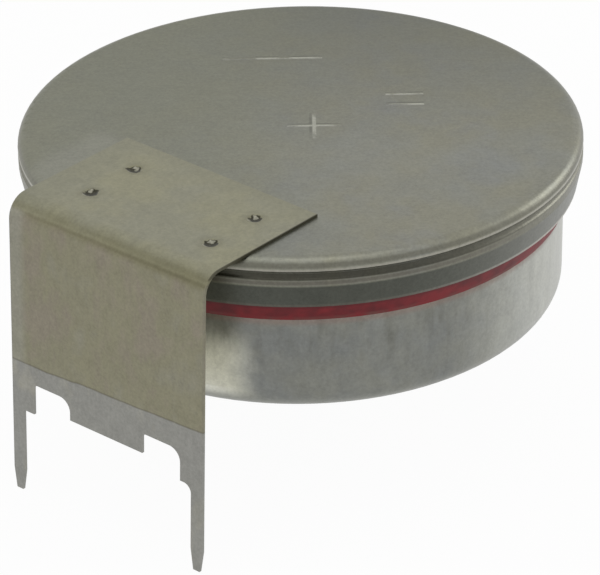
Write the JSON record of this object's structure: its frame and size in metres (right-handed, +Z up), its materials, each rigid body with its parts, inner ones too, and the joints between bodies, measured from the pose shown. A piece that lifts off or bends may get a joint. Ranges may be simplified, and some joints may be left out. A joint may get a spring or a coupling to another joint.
{
  "type": "lithium coin cell",
  "caption": "Sealed lithium coin cell with a lid crimped over a cup, held above the board by a wide folded tab with flat solder pins.",
  "frame": {"origin": "on the circuit board's face, on the axis of the cell, level with the shoulders of the pins", "axes": "+Z up from the board along the cell's axis, -Y towards the wide positive tab, +X along that tab's width"},
  "size_m": [0.0244, 0.0261, 0.0138],
  "materials": {
    "lid_steel": "satin",
    "gasket_plastic": "matt",
    "cup_steel": "satin",
    "ring_steel": "satin",
    "cathode_mass": "matt",
    "separator_felt": "matt",
    "lithium_metal": "satin",
    "tab_steel": "satin",
    "tab_steel_low": "satin"
  },
  "bodies": {
    "root": {"lid": "lid_steel", "gasket": "gasket_plastic", "cup": "cup_steel", "cathode_ring": "ring_steel", "cathode_pellet": "cathode_mass", "separator": "separator_felt", "lithium_disc": "lithium_metal", "positive_tab": "tab_steel", "negative_tab": "tab_steel_low"}
  },
  "joints": []
}
